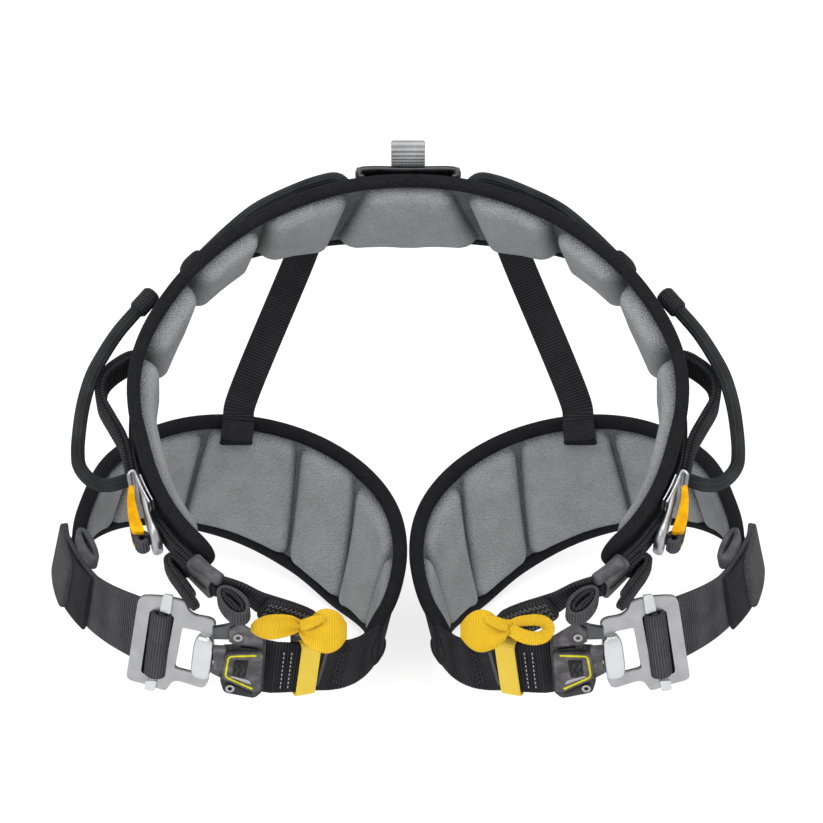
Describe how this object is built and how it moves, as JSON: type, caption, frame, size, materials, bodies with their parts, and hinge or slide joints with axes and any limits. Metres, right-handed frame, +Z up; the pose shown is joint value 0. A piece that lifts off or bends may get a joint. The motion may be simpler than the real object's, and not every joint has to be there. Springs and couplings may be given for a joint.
{
  "type": "sit harness",
  "caption": "Sit harness for work at height: padded waist belt and leg loops joined by webbing, with leg buckles, strap adjusters, gear loops and sewn attachment loops.",
  "frame": {"origin": "middle of the waist opening, where the belt's own axis crosses its mid plane", "axes": "+X across the wearer, to the right as seen from the front, +Y to the wearer's back, +Z up"},
  "size_m": [0.4942, 0.3176, 0.3463],
  "materials": {
    "shell_black": "closely woven matt nylon",
    "binding_black": "ribbed binding tape",
    "padding_grey": "grey air mesh over foam",
    "webbing_black": "ribbed nylon webbing",
    "loop_grey": "ribbed light grey webbing",
    "webbing_yellow": "woven yellow tape",
    "buckle_silver": "satin anodised",
    "latch_black": "moulded, fine grain",
    "lever_orange": "amber anodised",
    "keeper_grey": "soft moulded",
    "plate_black": "moulded",
    "gear_loop_black": "sheathed tube",
    "screw_steel": "bright"
  },
  "bodies": {
    "root": {"belt_shell": "shell_black", "belt_binding": "binding_black", "belt_padding": "padding_grey", "back_plate": "plate_black", "back_loop": "loop_grey", "leg_shell_left": "shell_black", "leg_binding_left": "binding_black", "leg_padding_left": "padding_grey", "leg_strap_inner_left": "webbing_black", "leg_strap_outer_left": "webbing_black", "leg_tail_left": "webbing_black", "leg_keeper_left": "keeper_grey", "loop_band_left": "webbing_yellow", "buckle_frame_left": "buckle_silver", "buckle_roll_left": "webbing_black", "buckle_latch_left": "latch_black", "buckle_lever_left": "latch_black", "screw_upper_left": "screw_steel", "screw_lower_left": "screw_steel", "side_gear_loop_left": "gear_loop_black", "rear_gear_loop_left": "gear_loop_black", "side_strap_left": "webbing_black", "adjuster_frame_left": "buckle_silver", "adjuster_lever_left": "lever_orange", "strap_roll_left": "webbing_black", "waist_strap_left": "webbing_black", "waist_tail_left": "webbing_black", "waist_keeper_left": "keeper_grey", "front_loop_left": "webbing_black", "riser_left": "webbing_black", "attachment_loop_left": "webbing_yellow", "rear_strap_left": "webbing_black", "leg_shell_right": "shell_black", "leg_binding_right": "binding_black", "leg_padding_right": "padding_grey", "leg_strap_inner_right": "webbing_black", "leg_strap_outer_right": "webbing_black", "leg_tail_right": "webbing_black", "leg_keeper_right": "keeper_grey", "loop_band_right": "webbing_yellow", "buckle_frame_right": "buckle_silver", "buckle_roll_right": "webbing_black", "buckle_latch_right": "latch_black", "buckle_lever_right": "latch_black", "screw_upper_right": "screw_steel", "screw_lower_right": "screw_steel", "side_gear_loop_right": "gear_loop_black", "rear_gear_loop_right": "gear_loop_black", "side_strap_right": "webbing_black", "adjuster_frame_right": "buckle_silver", "adjuster_lever_right": "lever_orange", "strap_roll_right": "webbing_black", "waist_strap_right": "webbing_black", "waist_tail_right": "webbing_black", "waist_keeper_right": "keeper_grey", "front_loop_right": "webbing_black", "riser_right": "webbing_black", "attachment_loop_right": "webbing_yellow", "rear_strap_right": "webbing_black"}
  },
  "joints": []
}
